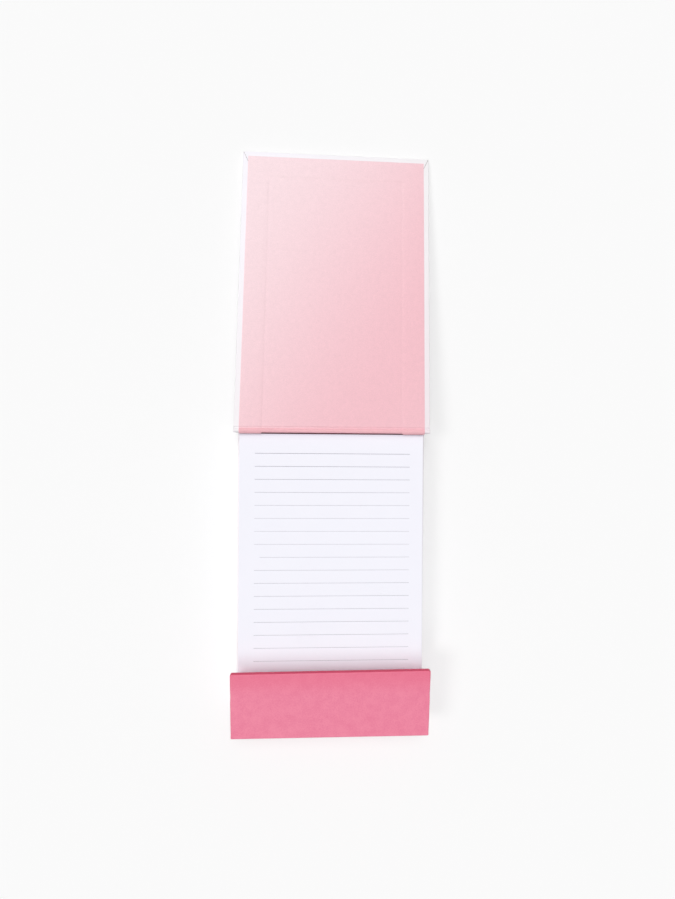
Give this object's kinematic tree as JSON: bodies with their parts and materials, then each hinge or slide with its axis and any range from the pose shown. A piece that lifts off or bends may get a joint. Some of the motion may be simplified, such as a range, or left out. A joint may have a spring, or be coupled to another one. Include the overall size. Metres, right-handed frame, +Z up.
{
  "type": "flip notepad",
  "caption": "Top-bound ruled notepad in a hard wrapped case, its cover folded open over the spine, and a flap raised above the foot.",
  "frame": {"origin": "centre of the closed case's underside, where it rests on the table, midway between the outer faces of the spine and the bottom wall", "axes": "+X across the case, +Y from the foot of the pad to its bound head and on along the opened cover, +Z up"},
  "size_m": [0.1076, 0.3269, 0.0271],
  "materials": {
    "greyboard": "matte",
    "white_wrap": "satin",
    "pink_wrap": "satin",
    "pink_lining": "matte",
    "backing_card": "matte",
    "page_paper": "matte",
    "pad_glue": "satin"
  },
  "bodies": {
    "base": {"back_board": "greyboard", "spine_board": "greyboard", "wrap_base": "white_wrap", "lining_base": "pink_lining", "backing_card": "backing_card", "page_block": "page_paper", "head_glue": "pad_glue"},
    "cover": {"cover_board": "greyboard", "wrap_cover": "white_wrap", "lining_cover": "pink_lining"},
    "bottom_wall": {"bottom_board": "greyboard", "wrap_bottom": "pink_wrap", "lining_bottom": "pink_lining"},
    "flap": {"flap_board": "greyboard", "wrap_flap": "pink_wrap", "lining_flap": "pink_lining"}
  },
  "joints": [
    {"name": "cover_hinge", "type": "hinge", "parent": "base", "child": "cover", "pos_m": [0, 0.0828, 0.019], "axis": [1, 0, 0], "range_deg": [0, 186.35]},
    {"name": "bottom_hinge", "type": "hinge", "parent": "base", "child": "bottom_wall", "pos_m": [0, -0.084, 0], "axis": [1, 0, 0], "range_deg": [0, 90]},
    {"name": "flap_hinge", "type": "hinge", "parent": "bottom_wall", "child": "flap", "pos_m": [0, -0.0828, 0.02175], "axis": [1, 0, 0], "range_deg": [-6.4, 195]}
  ]
}
